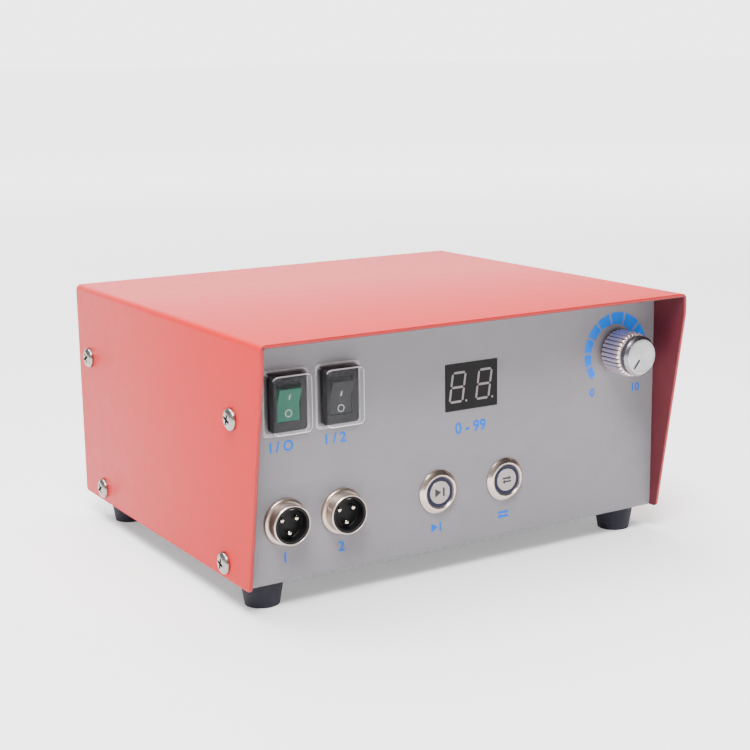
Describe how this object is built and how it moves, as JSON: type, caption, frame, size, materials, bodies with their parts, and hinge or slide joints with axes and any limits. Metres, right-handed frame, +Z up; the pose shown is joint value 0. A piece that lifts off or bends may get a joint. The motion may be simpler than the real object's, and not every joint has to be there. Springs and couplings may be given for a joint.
{
  "type": "dental micromotor control box",
  "caption": "Hooded sheet-metal control box of a dental micromotor with rocker switches under clear boots, motor sockets, push buttons, digit display and speed knob.",
  "frame": {"origin": "centre of the case's plan on the surface that the feet stand on", "axes": "+X to the user's right, +Y from the front panel to the rear, +Z up"},
  "size_m": [0.2044, 0.1816, 0.1067],
  "materials": {
    "cover_red": "smooth satin powder coat",
    "chassis_grey": "fine textured grey paint",
    "screw_steel": "nickel plated",
    "rubber_black": "matte moulded",
    "switch_black": "satin moulded",
    "rocker_green": "translucent moulded",
    "rocker_black": "satin moulded",
    "boot_clear": "clear soft vinyl",
    "socket_nickel": "nickel plated",
    "insert_black": "moulded",
    "contact_plated": "plated",
    "button_metal": "satin nickel",
    "ring_navy": "translucent light guide",
    "spring_steel": "drawn wire",
    "terminal_brass": "stamped",
    "display_black": "semi-gloss face",
    "segment_grey": "unlit light windows",
    "board_green": "solder mask",
    "knob_metal": "turned and anodised",
    "pot_metal": "pressed can",
    "inlet_black": "moulded",
    "fuse_glass": "glass cartridge",
    "core_iron": "varnished laminations",
    "coil_tape": "copper winding under yellow tape",
    "strap_zinc": "zinc plated",
    "sink_black": "black anodised",
    "component_black": "moulded",
    "sleeve_blue": "shrink sleeve",
    "header_cream": "moulded"
  },
  "bodies": {
    "case": {"top_cover": "cover_red", "chassis": "chassis_grey", "cover_screws": "screw_steel", "cover_nuts": "strap_zinc", "foot_front_left": "rubber_black", "foot_front_right": "rubber_black", "foot_rear_left": "rubber_black", "foot_rear_right": "rubber_black", "foot_screws": "screw_steel", "foot_nuts": "strap_zinc", "power_switch_housing": "switch_black", "power_boot": "boot_clear", "power_terminals": "terminal_brass", "selector_switch_housing": "switch_black", "selector_boot": "boot_clear", "selector_terminals": "terminal_brass", "motor_socket_1": "socket_nickel", "motor_socket_2": "socket_nickel", "pedal_socket": "socket_nickel", "socket_inserts": "insert_black", "socket_pins": "contact_plated", "socket_nuts": "socket_nickel", "start_button_body": "button_metal", "start_button_spring": "spring_steel", "reverse_button_body": "button_metal", "reverse_button_spring": "spring_steel", "button_terminals": "terminal_brass", "button_nuts": "socket_nickel", "display_housing": "display_black", "display_segments": "segment_grey", "display_board": "board_green", "pot_body": "pot_metal", "pot_terminals": "terminal_brass", "pot_nut": "socket_nickel", "mains_inlet": "inlet_black", "inlet_prongs": "contact_plated", "transformer_core": "core_iron", "transformer_coil": "coil_tape", "transformer_strap": "strap_zinc", "transformer_screws": "screw_steel", "transformer_nuts": "strap_zinc", "control_board": "board_green", "board_spacers": "terminal_brass", "board_screws": "screw_steel", "heat_sink": "sink_black", "transistors": "component_black", "capacitors": "sleeve_blue", "cable_headers": "header_cream"},
    "power_rocker": {"power_rocker": "rocker_green"},
    "selector_rocker": {"selector_rocker": "rocker_black"},
    "start_button": {"start_button_cap": "button_metal", "start_button_ring": "ring_navy"},
    "reverse_button": {"reverse_button_cap": "button_metal", "reverse_button_ring": "ring_navy"},
    "speed_dial": {"speed_knob": "knob_metal", "knob_face": "knob_metal", "knob_grub_screw": "spring_steel", "pot_shaft": "pot_metal"},
    "fuse_drawer": {"fuse_drawer": "inlet_black", "fuse": "fuse_glass"}
  },
  "joints": [
    {"name": "power_rocker_tilt", "type": "hinge", "parent": "case", "child": "power_rocker", "pos_m": [-0.081, -0.07375, 0.0806], "axis": [-1, 0, 0], "range_deg": [0, 24]},
    {"name": "selector_rocker_tilt", "type": "hinge", "parent": "case", "child": "selector_rocker", "pos_m": [-0.0586, -0.07375, 0.0806], "axis": [-1, 0, 0], "range_deg": [0, 24]},
    {"name": "start_button_press", "type": "slide", "parent": "case", "child": "start_button", "axis": [0, 1, 0], "range_m": [0, 0.0018], "stiffness_N_per_m": 600, "springref_m": -0.002, "deforming": ["start_button_spring"]},
    {"name": "reverse_button_press", "type": "slide", "parent": "case", "child": "reverse_button", "axis": [0, 1, 0], "range_m": [0, 0.0018], "stiffness_N_per_m": 600, "springref_m": -0.002, "deforming": ["reverse_button_spring"]},
    {"name": "speed_dial_turn", "type": "hinge", "parent": "case", "child": "speed_dial", "pos_m": [0.0774, -0.07255, 0.082], "axis": [0, 1, 0], "range_deg": [0, 280]},
    {"name": "fuse_drawer_slide", "type": "slide", "parent": "case", "child": "fuse_drawer", "axis": [0, 1, 0], "range_m": [0, 0.018]}
  ]
}
